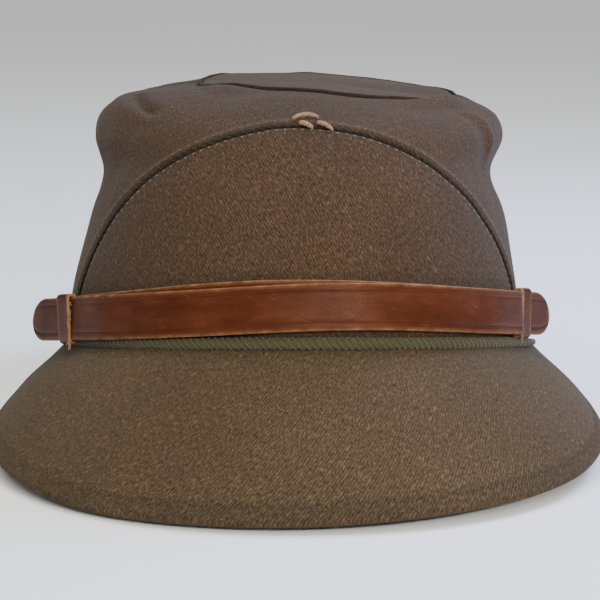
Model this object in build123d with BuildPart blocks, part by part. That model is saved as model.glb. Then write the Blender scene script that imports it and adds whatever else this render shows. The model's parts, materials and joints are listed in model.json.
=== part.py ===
"""A soft military peaked cap: cloth crown with a crescent front panel, steep cloth visor, two-part
leather chin strap.  Millimetres, +Z up, the visor faces -Y.  The cap rests on the visor's front edge
and the back of its rim, so the rim plane leans back by rest_lean."""
from build123d import *
from math import cos, hypot, radians, sin
import os

os.makedirs("parts", exist_ok=True)

# Rim: the oval along the crown's lower edge, measured outside the cloth
rim_half_width = 87.5
rim_half_length = 106.0
rest_lean = 12.95         # degrees from the table to the rim plane, front high
balance_shift = 18.2      # moves the rim's centre back, so the whole cap is centred on the origin

# Crown wall: one row per ring, from the rim up to the top seam
# (height, half width, half length, shift to the back, slope to the front in degrees)
crown_rings = [
    (0.0, rim_half_width, rim_half_length, 0.0, 0.0),
    (22.0, 84.3, 103.0, 0.0, 0.0),
    (38.0, 80.6, 100.5, 0.0, 0.5),
    (52.0, 77.8, 98.0, 1.0, 1.5),
    (65.0, 75.0, 95.0, 3.0, 3.0),
    (79.0, 77.4, 91.0, 6.0, 6.0),
    (90.0, 74.0, 84.0, 9.0, 8.5),
    (96.5, 66.0, 75.0, 10.0, 10.0),
    (99.5, 56.0, 65.0, 10.0, 10.5),
]
top_dome = [(0.80, 1.6), (0.45, 3.0)]   # (share of the top's size, rise)

# Heights over the rim that take in the whole crown, and a length that passes right through the cap
under_crown = -5.0
over_crown = 150.0
wide = 400.0

# Cloth and leather thicknesses
cloth = 1.5
stiffener = 1.0
lining = 0.6
sweatband = 1.2
layer_gap = 0.1
seam_tape = 0.5
contact_gap = 0.02        # keeps two faces that follow each other from sharing points

# Crescent front panel
crescent_half_width = 80.5
crescent_height = 72.5
seam_width = 3.0
seam_rise = 0.9
seam_stop = 1.0           # the raised seam ends this far over the strap
stiffener_margin = 2.0    # the stiffener stays this far inside the crescent
stiffener_foot = 1.0
arch_near = 15.0          # the crescent is cut by a block between these distances forward
arch_far = 140.0

# Seams of the crown behind the front panel
side_seam_back = 12.0     # side seams stand this far behind the rim's centre
back_seam_half_width = 5.0
back_seam_front = 40.0    # the tape behind the back seam lies wholly behind this line
back_seam_foot = 2.0
back_seam_top = 88.0

# Top seam
top_edge = 1.5            # width of wall cloth turned in under the top seam
top_cut = 12.0            # depth of the cut that opens the wall inside the top seam
dome_room = 20.0
fold_outside = 0.4
fold_inside = 1.2
fold_height = 1.3

# Visor
visor_drop = 57.0         # height of the cone that the visor is cut from
visor_cone_half_width = 133.0
visor_cone_half_length = 98.0
visor_cone_forward = 46.0
visor_reach = 0.94        # share of the cone's height that the visor covers in the middle
visor_taper = 0.62        # share of the reach lost at the ends
visor_taper_angle = 88.0
visor_taper_power = 2.2
visor_corner = 76.0       # degrees round the rim where the ends begin to round off
visor_end = 89.0
visor_stations = [-86, -83, -79, -73, -64, -52, -38, -20, 0, 20, 38, 52, 64, 73, 79, 83, 86]
visor_board = 1.6
visor_cloth = 1.1
visor_start = 2.0         # the visor starts this far down the cone, below the welt
welt_width = 2.2
welt_height = 1.7
welt_drop = 1.3
welt_gap = 0.05
welt_front = 10.0         # the welt runs in front of this line
welt_round = 0.8
core_margin = 1.5         # the board stays this far inside the visor's edge
under_margin = 0.3

# Inside band
sweatband_height = 38.0
sweatband_foot = 1.5
lining_lap = 6.0          # the lining starts this far below the sweatband's top
reed_radius = 0.9
reed_round = 0.8          # share of its radius that rounds the reed's edges
reed_drop = 0.4
tuck_height = 8.0
tuck_foot = 0.2
tuck_front = 6.0          # the tuck ends this far in front of the side posts

# Chin strap: two leather straps that lie on each other; each leaves the crown in a straight tangent
strap_leather = 1.6
strap_height = 15.2
strap_lower_edge = 2.0
strap_standoff = 0.6
strap_pull = 0.2          # how far the strap's pull draws the cloth in
strap_cut = 20.0          # half length of the cut where a strap leaves its oval
ply_gap = 0.1
left_turn = 50.0          # degrees round the rim where the straps leave the crown
right_turn = 50.0
left_tab_end = 50.0       # distances along the straight, from where it leaves the crown
left_rear_end = 15.5
left_keeper = (16.0, 24.0)
right_tab_end = 41.0
right_front_end = 14.5
right_keeper = (15.0, 21.5)
tab_corner = 6.8
keeper_leather = 1.0

# Side posts, one line through both: the strap swings on them
post_forward = 43.0
post_height = strap_lower_edge + strap_height / 2
post_radius = 1.2
post_clearance = 0.05
socket_radius = 3.5
socket_leather = 1.6
washer_radius = 3.2
washer_thickness = 0.5
washer_layers = 7         # gaps between the cloth's face and the washer
tip_clearance = 0.15
crown_at_posts = (86.2, 104.8)   # the crown's half width and half length at the posts' height

lean = radians(rest_lean)
rim = Plane(
    origin=(0, balance_shift, rim_half_length * sin(lean)),
    x_dir=(1, 0, 0),
    z_dir=(0, sin(lean), cos(lean)),
)
front_view = Plane(origin=rim.origin, x_dir=(1, 0, 0), z_dir=(0, -cos(lean), sin(lean)))
side_view = Plane(origin=rim.origin, x_dir=(0, cos(lean), -sin(lean)), z_dir=(1, 0, 0))


# ---------------------------------------------------------------- crown
def ring_lean(index):
    """Outward and upward parts of the wall's normal at one ring."""
    lower = crown_rings[max(index - 1, 0)]
    upper = crown_rings[min(index + 1, len(crown_rings) - 1)]
    rise, run = upper[0] - lower[0], lower[1] - upper[1]
    length = hypot(rise, run)
    return rise / length, run / length


def ring_plane(height, shift, slope):
    return Plane(rim.location * Location((0, shift, height), (slope, 0, 0)))


def crown_form(inset, first=0, drop=0.0):
    """Solid crown, shrunk by inset; it starts at one ring, lengthened below it by drop."""
    with BuildPart() as form:
        if drop:
            height, half_width, half_length, shift, slope = crown_rings[first]
            with BuildSketch(ring_plane(height - drop, shift, slope)):
                Ellipse(half_width - inset, half_length - inset)
        for index in range(first, len(crown_rings)):
            height, half_width, half_length, shift, slope = crown_rings[index]
            outward, upward = ring_lean(index)
            if index == 0:
                outward, upward = 1.0, 0.0
            with BuildSketch(ring_plane(height - inset * upward, shift, slope)):
                Ellipse(half_width - inset * outward, half_length - inset * outward)
        loft(ruled=True)
    return form.part


top_height, top_half_width, top_half_length, top_shift, top_slope = crown_rings[-1]
top_seat = ring_plane(top_height, top_shift, top_slope)


def crown_shell(outer_inset, thickness, top_opening):
    """Wall of the crown between two insets, open below and inside the top seam."""
    with BuildPart() as shell:
        add(crown_form(outer_inset))
        add(crown_form(outer_inset + thickness), mode=Mode.SUBTRACT)
        with BuildSketch(top_seat):
            Ellipse(top_half_width - top_opening, top_half_length - top_opening)
        extrude(amount=top_cut, both=True, mode=Mode.SUBTRACT)
    return shell.part


def arch_block(margin):
    """Half-oval block seen from the front: the crescent's outline, grown by margin."""
    with BuildPart() as block:
        with BuildSketch(front_view.offset(arch_near)):
            Ellipse(crescent_half_width + margin, crescent_height + margin)
        extrude(amount=arch_far - arch_near)
    return block.part


def slab(bottom, top, front=-wide, back=wide, left=-wide, right=wide):
    """Block between two heights over the rim, cut off at the given sides (back is positive)."""
    with BuildPart() as block:
        with BuildSketch(rim.offset(bottom)):
            with Locations(((left + right) / 2, (front + back) / 2)):
                Rectangle(right - left, back - front)
        extrude(amount=top - bottom)
    return block.part


def post_hole(radius):
    """Rod along the line through both side posts."""
    with BuildPart() as rod:
        with BuildSketch(side_view):
            with Locations((-post_forward, post_height)):
                Circle(radius)
        extrude(amount=wide / 2, both=True)
    return rod.part


wall = crown_shell(0.0, cloth, top_edge)

with BuildPart() as front_panel:
    add(wall)
    add(arch_block(0.0), mode=Mode.INTERSECT)
    add(post_hole(post_radius), mode=Mode.SUBTRACT)
front_panel.part.label = "front_panel"
export_step(front_panel.part, "parts/front_panel.step")

with BuildPart() as crown_front_band:
    add(wall)
    add(arch_block(0.0), mode=Mode.SUBTRACT)
    add(slab(under_crown, over_crown, back=side_seam_back), mode=Mode.INTERSECT)
    add(post_hole(post_radius), mode=Mode.SUBTRACT)
crown_front_band.part.label = "crown_front_band"
export_step(crown_front_band.part, "parts/crown_front_band.step")

for name, left, right in (("crown_left_quarter", -wide, 0), ("crown_right_quarter", 0, wide)):
    with BuildPart() as quarter:
        add(wall)
        behind = slab(under_crown, over_crown, front=side_seam_back, left=left, right=right)
        add(behind, mode=Mode.INTERSECT)
    quarter.part.label = name
    export_step(quarter.part, f"parts/{name}.step")


def domed_top(edge, sink, thickness):
    """Shallow domed oval, sunk below the top seam's plane."""
    with BuildPart() as dome:
        for depth, mode in ((0.0, Mode.ADD), (thickness, Mode.SUBTRACT)):
            with BuildPart(mode=Mode.PRIVATE) as lump:
                with BuildSketch(top_seat.offset(-sink - depth)):
                    Ellipse(top_half_width - edge, top_half_length - edge)
                for share, rise in top_dome:
                    with BuildSketch(top_seat.offset(rise - sink - depth)):
                        Ellipse((top_half_width - edge) * share, (top_half_length - edge) * share)
                loft()
            add(lump.part, mode=mode)
        with BuildSketch(top_seat.offset(-sink)):
            Ellipse(top_half_width, top_half_length)
        extrude(amount=dome_room, mode=Mode.INTERSECT)
    return dome.part


with BuildPart() as top_panel:
    add(domed_top(top_edge + layer_gap, cloth / 2, cloth))
top_panel.part.label = "top_panel"
export_step(top_panel.part, "parts/top_panel.step")

with BuildPart() as top_seam_fold:
    with BuildSketch(top_seat):
        Ellipse(top_half_width + fold_outside, top_half_length + fold_outside)
        Ellipse(top_half_width - fold_inside, top_half_length - fold_inside, mode=Mode.SUBTRACT)
    extrude(amount=fold_height)
top_seam_fold.part.label = "top_seam_fold"
export_step(top_seam_fold.part, "parts/top_seam_fold.step")

with BuildPart() as front_seam_fold:
    add(crown_form(-seam_rise))
    add(crown_form(-contact_gap), mode=Mode.SUBTRACT)
    add(arch_block(seam_width), mode=Mode.INTERSECT)
    add(arch_block(0.0), mode=Mode.SUBTRACT)
    add(slab(strap_lower_edge + strap_height + seam_stop, over_crown), mode=Mode.INTERSECT)
front_seam_fold.part.label = "front_seam_fold"
export_step(front_seam_fold.part, "parts/front_seam_fold.step")

with BuildPart() as front_stiffener:
    add(crown_form(cloth + layer_gap))
    add(crown_form(cloth + layer_gap + stiffener), mode=Mode.SUBTRACT)
    add(arch_block(-stiffener_margin), mode=Mode.INTERSECT)
    add(slab(stiffener_foot, over_crown), mode=Mode.INTERSECT)
    add(post_hole(post_radius), mode=Mode.SUBTRACT)
front_stiffener.part.label = "front_stiffener"
export_step(front_stiffener.part, "parts/front_stiffener.step")

band_inset = cloth + stiffener + 3 * layer_gap + visor_cloth

with BuildPart() as side_lining:
    add(crown_shell(band_inset, lining, top_edge))
    add(slab(sweatband_height - lining_lap, over_crown), mode=Mode.INTERSECT)
side_lining.part.label = "side_lining"
export_step(side_lining.part, "parts/side_lining.step")

with BuildPart() as top_lining:
    with BuildSketch(top_seat.offset(-band_inset - lining)):
        Ellipse(
            top_half_width - top_edge - layer_gap,
            top_half_length - top_edge - layer_gap,
        )
    extrude(amount=lining)
top_lining.part.label = "top_lining"
export_step(top_lining.part, "parts/top_lining.step")

with BuildPart() as sweatband_leather:
    add(crown_form(band_inset + lining + layer_gap))
    add(crown_form(band_inset + lining + layer_gap + sweatband), mode=Mode.SUBTRACT)
    add(slab(sweatband_foot, sweatband_height), mode=Mode.INTERSECT)
sweatband_leather.part.label = "sweatband"
export_step(sweatband_leather.part, "parts/sweatband.step")

reed_inset = band_inset + sweatband
with BuildPart() as sweatband_reed:
    with BuildSketch(rim.offset(-reed_drop)):
        Ellipse(rim_half_width - reed_inset + reed_radius, rim_half_length - reed_inset + reed_radius)
        Ellipse(
            rim_half_width - reed_inset - reed_radius,
            rim_half_length - reed_inset - reed_radius,
            mode=Mode.SUBTRACT,
        )
    extrude(amount=2 * reed_radius)
    fillet(sweatband_reed.edges(), radius=reed_round * reed_radius)
sweatband_reed.part.label = "sweatband_reed"
export_step(sweatband_reed.part, "parts/sweatband_reed.step")

with BuildPart() as back_seam_tape:
    add(crown_form(cloth + layer_gap))
    add(crown_form(cloth + layer_gap + seam_tape), mode=Mode.SUBTRACT)
    back_strip = slab(
        back_seam_foot,
        back_seam_top,
        front=back_seam_front,
        left=-back_seam_half_width,
        right=back_seam_half_width,
    )
    add(back_strip, mode=Mode.INTERSECT)
back_seam_tape.part.label = "back_seam_tape"
export_step(back_seam_tape.part, "parts/back_seam_tape.step")


# ---------------------------------------------------------------- visor
def visor_share(angle):
    """Share of the cone's height that the visor covers at one angle round the rim."""
    turn = abs(angle)
    share = visor_reach * (1 - visor_taper * (turn / visor_taper_angle) ** visor_taper_power)
    if turn > visor_corner:
        share *= (1 - ((turn - visor_corner) / (visor_end - visor_corner)) ** 2) ** 0.5
    return share


def cone_point(angle, share):
    turn = radians(angle)
    half_width = rim_half_width + (visor_cone_half_width - rim_half_width) * share
    half_length = rim_half_length + (visor_cone_half_length - rim_half_length) * share
    return Vector(
        half_width * sin(turn),
        -visor_cone_forward * share - half_length * cos(turn),
        -visor_drop * share,
    )


def station_plane(angle):
    """Plane through one straight line of the cone: x down the visor, y out of its top."""
    start = rim.from_local_coords(cone_point(angle, 0.0))
    end = rim.from_local_coords(cone_point(angle, 1.0))
    beside = rim.from_local_coords(cone_point(angle + 0.5, 0.4))
    before = rim.from_local_coords(cone_point(angle - 0.5, 0.4))
    down = (end - start).normalized()
    out = down.cross(beside - before).normalized()
    if out.dot(rim.z_dir) < 0:
        out = out * -1
    return Plane(origin=start, x_dir=down, z_dir=down.cross(out))


def visor_layer(depth, thickness, start, edge_margin):
    """One layer of the visor: depth below its top face, from start down to the edge."""
    with BuildPart() as layer:
        for angle in visor_stations:
            slant = (cone_point(angle, 1.0) - cone_point(angle, 0.0)).length
            length = slant * visor_share(angle) - edge_margin - start
            with BuildSketch(station_plane(angle)):
                with Locations((start, -depth)):
                    Rectangle(length, thickness, align=(Align.MIN, Align.MAX))
        loft()
    return layer.part


with BuildPart() as visor_top_cloth:
    add(visor_layer(0.0, visor_cloth, visor_start, 0.0))
visor_top_cloth.part.label = "visor_top_cloth"
export_step(visor_top_cloth.part, "parts/visor_top_cloth.step")

with BuildPart() as visor_core:
    add(visor_layer(visor_cloth + layer_gap, visor_board, visor_start, core_margin))
visor_core.part.label = "visor_core"
export_step(visor_core.part, "parts/visor_core.step")

with BuildPart() as visor_under_cloth:
    under_depth = visor_cloth + visor_board + 2 * layer_gap
    add(visor_layer(under_depth, visor_cloth, visor_start, under_margin))
visor_under_cloth.part.label = "visor_under_cloth"
export_step(visor_under_cloth.part, "parts/visor_under_cloth.step")

with BuildPart() as visor_tuck:
    tuck_inset = cloth + stiffener + 2 * layer_gap
    add(crown_form(tuck_inset))
    add(crown_form(tuck_inset + visor_cloth), mode=Mode.SUBTRACT)
    add(slab(tuck_foot, tuck_height, back=-post_forward - tuck_front), mode=Mode.INTERSECT)
visor_tuck.part.label = "visor_tuck"
export_step(visor_tuck.part, "parts/visor_tuck.step")

with BuildPart() as visor_welt:
    with BuildSketch(rim.offset(-welt_drop)):
        for grow, mode in ((welt_width, Mode.ADD), (welt_gap, Mode.SUBTRACT)):
            Ellipse(rim_half_width + grow, rim_half_length + grow, mode=mode)
        with Locations((0, -wide / 2 - welt_front)):
            Rectangle(wide, wide, mode=Mode.INTERSECT)
    extrude(amount=welt_height)
    fillet(visor_welt.edges().filter_by(GeomType.ELLIPSE), radius=welt_round)
visor_welt.part.label = "visor_welt"
export_step(visor_welt.part, "parts/visor_welt.step")

# Loose thread ends where a badge was sewn: (middle to the right, height, length, turn in degrees)
badge_strands = [(2.8, 73.6, 8.0, 6.0), (3.0, 70.6, 4.5, -18.0), (8.6, 71.4, 5.0, -24.0)]
strand_radius = 0.6
strand_forward = 84.8     # how far forward a strand lies at strand_level, and what it loses per millimetre up
strand_level = 71.0
strand_slope = 1.3
with BuildPart() as badge_threads:
    for across, height, length, turn in badge_strands:
        forward = strand_forward - strand_slope * (height - strand_level)
        with BuildSketch(front_view.offset(forward)):
            with Locations(Location((across, height, 0), (0, 0, turn))):
                SlotOverall(length, 2 * strand_radius)
        extrude(amount=2 * strand_radius)
badge_threads.part.label = "badge_threads"
export_step(badge_threads.part, "parts/badge_threads.step")


# ---------------------------------------------------------------- chin strap
strap_form_width = rim_half_width - strap_pull + strap_standoff
strap_form_length = rim_half_length - strap_pull + strap_standoff


def oval_point(turn, offset):
    """Point and forward-to-back direction on the strap's oval, offset outward; right side for +turn."""
    angle = radians(turn)
    half_width, half_length = strap_form_width + offset, strap_form_length + offset
    point = Vector(half_width * sin(angle), -half_length * cos(angle), 0)
    way = Vector(half_width * cos(angle), half_length * sin(angle), 0).normalized()
    return point, way if turn > 0 else way * -1


def straight_plane(turn, offset, along=0.0):
    """Plane of a straight: x along it, z out of its outer face, at mid thickness and mid height."""
    point, way = oval_point(turn, offset)
    middle = point + way * along + Vector(0, 0, strap_lower_edge + strap_height / 2)
    origin = rim.from_local_coords(middle)
    x_dir = rim.from_local_coords(middle + way) - origin
    outward = x_dir.cross(rim.z_dir)
    if turn < 0:
        outward = outward * -1
    return Plane(origin=origin, x_dir=x_dir, z_dir=outward)


def strap_piece(offset, left_end, left_round, right_end, right_round):
    """One strap: the stretch round the crown and its two straights."""
    inner, outer = offset - strap_leather / 2, offset + strap_leather / 2
    left_point, left_way = oval_point(-left_turn, offset)
    right_point, right_way = oval_point(right_turn, offset)
    left_out = Vector(-left_way.Y, left_way.X, 0)
    right_out = Vector(right_way.Y, -right_way.X, 0)
    with BuildPart() as strap:
        with BuildSketch(rim.offset(strap_lower_edge)):
            Ellipse(strap_form_width + outer, strap_form_length + outer)
            Ellipse(strap_form_width + inner, strap_form_length + inner, mode=Mode.SUBTRACT)
            Polygon(
                left_point - left_out * strap_cut,
                left_point + left_out * strap_cut,
                (-wide / 2, -wide / 2),
                (wide / 2, -wide / 2),
                right_point + right_out * strap_cut,
                right_point - right_out * strap_cut,
                align=None,
                mode=Mode.INTERSECT,
            )
        extrude(amount=strap_height)
        for turn, end, rounded in ((-left_turn, left_end, left_round), (right_turn, right_end, right_round)):
            with BuildSketch(straight_plane(turn, offset)) as profile:
                Rectangle(end, strap_height, align=(Align.MIN, Align.CENTER))
                if rounded:
                    fillet(profile.vertices().sort_by(Axis.X)[-2:], radius=tab_corner)
            extrude(amount=strap_leather / 2, both=True)
    return strap.part


rear_offset = strap_leather / 2
front_offset = rear_offset + strap_leather + ply_gap
chin_strap_rear = strap_piece(rear_offset, left_rear_end, False, right_tab_end, True)
chin_strap_rear.label = "chin_strap_rear"
export_step(chin_strap_rear, "parts/chin_strap_rear.step")

chin_strap_front = strap_piece(front_offset, left_tab_end, True, right_front_end, False)
chin_strap_front.label = "chin_strap_front"
export_step(chin_strap_front, "parts/chin_strap_front.step")


def keeper_loop(turn, offset, start, end):
    """Leather loop round one strap, between two places along its straight."""
    seat = straight_plane(turn, offset, start)
    section = Plane(origin=seat.origin, x_dir=seat.z_dir, z_dir=seat.x_dir)
    with BuildPart() as loop:
        with BuildSketch(section):
            Rectangle(
                strap_leather + 2 * (ply_gap + keeper_leather),
                strap_height + 2 * (ply_gap + keeper_leather),
            )
            Rectangle(strap_leather + 2 * ply_gap, strap_height + 2 * ply_gap, mode=Mode.SUBTRACT)
        extrude(amount=end - start)
    return loop.part


keeper_left = keeper_loop(-left_turn, front_offset, *left_keeper)
keeper_left.label = "keeper_left"
export_step(keeper_left, "parts/keeper_left.step")

keeper_right = keeper_loop(right_turn, rear_offset, *right_keeper)
keeper_right.label = "keeper_right"
export_step(keeper_right, "parts/keeper_right.step")


def straight_at_post(turn, offset):
    """Distance along a straight, and distance to the side, where it passes the line of the posts."""
    point, way = oval_point(turn, offset)
    along = (point.Y + post_forward) / -way.Y
    return along, (point + way * along).X


for side, turn, offset in (("left", -left_turn, front_offset), ("right", right_turn, rear_offset)):
    along, across = straight_at_post(turn, offset)
    plate = straight_plane(turn, offset, along)
    hand = -1 if side == "left" else 1
    slant = abs(plate.z_dir.X)

    with BuildPart() as socket:
        with BuildSketch(plate.offset(-strap_leather / 2 - socket_leather)):
            Circle(socket_radius)
        extrude(amount=socket_leather)
        add(post_hole(post_radius + post_clearance), mode=Mode.SUBTRACT)
    socket.part.label = f"post_socket_{side}"
    export_step(socket.part, f"parts/post_socket_{side}.step")

    tip_margin = post_radius * (1 - slant**2) ** 0.5 / slant + tip_clearance
    tip = abs(across) - strap_leather / 2 / slant - tip_margin
    crown_width, crown_length = crown_at_posts
    foot = crown_width * (1 - (post_forward / crown_length) ** 2) ** 0.5
    normal = Vector(hand * foot / crown_width**2, -post_forward / crown_length**2, 0).normalized()
    foot_point = Vector(hand * foot, -post_forward, post_height)
    washer_depth = cloth + stiffener + washer_layers * layer_gap
    washer_origin = rim.from_local_coords(foot_point - normal * (washer_depth + washer_thickness))
    washer_normal = rim.from_local_coords(foot_point) - washer_origin
    washer_plane = Plane(origin=washer_origin, z_dir=washer_normal)

    with BuildPart() as washer:
        with BuildSketch(washer_plane):
            Circle(washer_radius)
        extrude(amount=washer_thickness)
        add(post_hole(post_radius), mode=Mode.SUBTRACT)
    washer.part.label = f"post_washer_{side}"
    export_step(washer.part, f"parts/post_washer_{side}.step")

    inner_end = foot - (washer_depth + washer_thickness) / abs(normal.X)
    with BuildPart() as post:
        with BuildSketch(side_view.offset(hand * inner_end)):
            with Locations((-post_forward, post_height)):
                Circle(post_radius)
        extrude(amount=hand * (tip - inner_end))
    post.part.label = f"side_post_{side}"
    export_step(post.part, f"parts/side_post_{side}.step")
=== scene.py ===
"""Looks of the soft military peaked cap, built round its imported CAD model.  Lengths are millimetres
in the rim's own frame (across, forward, up) until place() turns them into the row's metres.  A crown
point has a turn (radians round the crown, 0 in front) and a level (a place among the rings)."""

import json
from math import atan2, cos, pi, radians, sin, sqrt

import bmesh
import bpy
import numpy as np
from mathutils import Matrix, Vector, noise


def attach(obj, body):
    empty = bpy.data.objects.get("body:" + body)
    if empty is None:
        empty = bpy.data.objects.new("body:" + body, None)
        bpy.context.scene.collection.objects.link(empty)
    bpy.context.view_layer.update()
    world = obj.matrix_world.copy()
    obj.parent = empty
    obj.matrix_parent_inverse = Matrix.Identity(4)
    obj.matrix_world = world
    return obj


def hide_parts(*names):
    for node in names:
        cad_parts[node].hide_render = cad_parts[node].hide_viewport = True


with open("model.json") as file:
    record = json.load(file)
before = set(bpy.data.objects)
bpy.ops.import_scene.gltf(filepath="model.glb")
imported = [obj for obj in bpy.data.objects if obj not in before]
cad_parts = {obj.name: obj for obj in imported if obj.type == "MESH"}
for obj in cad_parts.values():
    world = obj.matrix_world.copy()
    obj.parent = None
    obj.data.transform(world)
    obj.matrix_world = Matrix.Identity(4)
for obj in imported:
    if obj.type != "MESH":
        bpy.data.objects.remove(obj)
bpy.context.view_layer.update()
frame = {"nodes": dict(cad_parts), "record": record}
MM = 0.001

# ---------------------------------------------------------------- the rim's frame, from the record
mounts = {mount["name"]: mount for mount in frame["record"]["mounts"]}
opening = mounts["head_opening"]
RIM_ORIGIN = np.array(opening["pos_m"])
RIM_UP = -np.array(opening["axis"])
RIM_UP /= np.linalg.norm(RIM_UP)
RIM_ACROSS = np.array([1.0, 0.0, 0.0])
RIM_FORWARD = np.cross(RIM_ACROSS, RIM_UP)
LEAN = atan2(RIM_UP[1], RIM_UP[2])

# ---------------------------------------------------------------- sizes
RIM_HALF_WIDTH = 87.5
RIM_HALF_LENGTH = 106.0

# Crown rings: height, half width, half length, shift back, slope to the front in degrees, shift across
RINGS = np.array([
    (0.0, RIM_HALF_WIDTH, RIM_HALF_LENGTH, 0.0, 0.0, 0.0),
    (11.0, 86.0, 104.6, 0.0, 0.0, 0.0),
    (22.0, 84.5, 103.0, 0.0, 0.0, 0.0),
    (38.0, 80.8, 100.5, 0.0, 0.5, 0.0),
    (52.0, 77.8, 98.0, 1.0, 1.5, 0.0),
    (65.0, 75.0, 95.0, 3.0, 3.0, 0.3),
    (79.0, 77.6, 91.0, 6.0, 6.0, 0.6),
    (90.5, 74.5, 84.0, 9.0, 9.2, 1.0),
    (98.0, 65.0, 75.0, 11.0, 11.0, 4.5),
    (101.0, 50.0, 65.0, 12.0, 11.4, 11.5),
])
TOP_LEVEL = len(RINGS) - 1
RIGHT_DROP = 6.2           # how much the soft crown leans down on its right side

# Folds of the soft crown: (degrees round, level) of its two ends, depth, half width
FOLD_TURN, FOLD_LEVEL = 1.45, 9.5      # millimetres of cloth in a degree round, and in a level
FOLDS = [
    ((-66.0, 7.7), (-44.0, 7.0), -1.8, 1.7),
    ((53.0, 7.5), (67.0, 5.5), 1.1, 2.2),
    ((71.0, 7.6), (86.0, 6.1), -0.9, 2.4),
    ((-84.0, 6.9), (-118.0, 5.6), -1.6, 3.2),
    ((101.0, 7.2), (132.0, 6.2), -1.5, 3.4),
    ((150.0, 5.2), (172.0, 7.0), -1.3, 3.0),
    ((-138.0, 7.2), (-165.0, 5.0), -1.4, 3.4),
]
# Soft swells and hollows: where (degrees round, level), height, half widths in degrees and levels
SWELLS = [
    ((54.0, 8.5), 3.9, 17.0, 0.45),
    ((-42.0, 8.65), 1.9, 12.0, 0.35),
    ((-70.0, 6.9), 1.0, 20.0, 0.9),
    ((72.0, 7.1), 0.8, 16.0, 0.8),
    ((88.0, 4.9), -3.4, 26.0, 0.9),
    ((86.0, 1.6), -3.2, 22.0, 1.5),
    ((64.0, 9.0), -2.0, 26.0, 0.30),
]

# Crown cloth and its seams
WALL = 1.3
PANEL_STAND, BAND_STAND = 0.35, 0.15   # how far the cloth's face stands off the plain crown
SIDE_SEAM = radians(96.5)
SEAM_DENT, SEAM_DENT_WIDTH = 0.8, 1.4
SEAM_ROLL_FROM, SEAM_ROLL_WIDTH = 3.5, 1.8
SIDE_DEGREE, BACK_DEGREE = 1.5, 1.75   # millimetres of cloth in a degree, at the side and the back
CRESCENT_HALF_WIDTH = 80.5
CRESCENT_HEIGHT = 72.5
CRESCENT_ARC = pi * sqrt((CRESCENT_HALF_WIDTH**2 + CRESCENT_HEIGHT**2) / 2)
STITCH_STEP = 2.9
STITCH_TURN = radians(86.0)            # stitches run this far to both sides
CROWN_RADIUS = 93.0                    # mean radius that lays the cloth's uv flat

# Visor: the cone it is cut from, its ends, edge and hem
VISOR_DROP = 57.0
VISOR_CONE = (133.0, 98.0, 46.0)       # half width, half length, forward
VISOR_REACH = 0.94
VISOR_TAPER = 0.66
VISOR_TAPER_ANGLE, VISOR_TAPER_POWER = 88.0, 2.2
VISOR_CORNER, VISOR_END = 76.0, 89.0
VISOR_SPREAD = 0.92                    # crowds the columns of the visor's mesh towards its ends
VISOR_RADIUS = 112.0                   # mean radius that lays the visor's uv flat
EDGE_RADIUS = 1.95
VISOR_WALL = 1.0
HEM, HEM_SHARE = 8.0, 0.45             # the hem's width, and the most it takes of the visor's length
EDGE_STITCH = 6.0                      # a pressed line this far from the edge
UNDER_DEPTH = 3.95                     # depth of the under cloth's face below the top
BOARD_START, BOARD_MARGIN, BOARD_DEPTHS = 1.0, 4.4, (1.2, 2.75)
WELT_HALF_WIDTH, WELT_HALF_LENGTH, WELT_HEIGHT = 88.7, 107.25, 0.15
WELT_GIRTH = (1.15, 1.75)
WELT_PITCH = 2.3

# Chin strap
STRAP_HALF_WIDTH, STRAP_HALF_LENGTH = 87.9, 106.4
STRAP_MIDDLE, STRAP_HALF = 9.6, 7.6
STRAP_LEATHER = 1.6
STRAP_TURN = radians(50.0)             # here the straps leave the crown in straights
STRAP_TILT = radians(4.0)
STRAP_FACE = [-7.6, -7.45, -7.0, -6.2, -5.3, -5.12, -4.95, -4.78, -4.6, -3.4, -1.8, 0.0]
STRAP_CREASE = 4.95
TAB_CORNER = 9.5
# Soft dents of the strap: place across, depth, width
STRAP_DENTS = [(-22.0, 0.35, 12.0), (31.0, 0.45, 10.0), (58.0, 0.25, 7.0), (-52.0, 0.3, 9.0)]
REAR_OFFSET = STRAP_LEATHER / 2
FRONT_OFFSET = REAR_OFFSET + STRAP_LEATHER + 0.1
KEEPER_DEEP, KEEPER_TALL, KEEPER_CORNER = 1.45, 8.2, 0.9
KEEPER_HALF_LEATHER = 0.55
LEFT_KEEPER, RIGHT_KEEPER = (16.0, 24.0), (15.0, 21.5)     # along each straight

# Inside
INSIDE_RADIUS = 92.0
PLEATS = 34
BAND_STITCHES = 150
BAND_STITCH_LEVEL, BAND_STITCH_STAND = 0.24, -5.95

# Camera and light
CAMERA_TARGET = (0.6, 0.0, 15.9)
CAMERA_DISTANCE = 0.650
CAMERA_BELOW_RIM = 1.0                 # degrees under the rim's plane
SENSOR = 36.0
FOCAL_SHARE = 1703.0 / 600.0           # focal length over the picture's width
FLOOR_SIZE, FLOOR_DROP = 14.0, -0.0004
MIDDLE = (0.0, 0.0, 0.06)
# Area lights: name, place, target, size, power, colour
AREA_LIGHTS = [
    ("key", (0.12, -1.25, 0.75), MIDDLE, 0.7, 11.8, (1.0, 0.955, 0.90)),
    ("top", (-0.1, 0.1, 1.3), MIDDLE, 1.0, 10.4, (1.0, 1.0, 1.0)),
    ("cool_side", (0.46, 0.24, 0.52), (0.05, 0.0, 0.10), 0.25, 6.0, (0.34, 0.50, 1.0)),
    ("glint", (0.35, -0.68, 0.32), (0.02, -0.12, 0.05), 0.08, 3.6, (1.0, 0.95, 0.88)),
]
SKY_POWER, SKY_ANGLE, SKY_TURN = 0.92, radians(60), (radians(12), radians(-8), 0)
ROOM_LIGHT = 0.42


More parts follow.
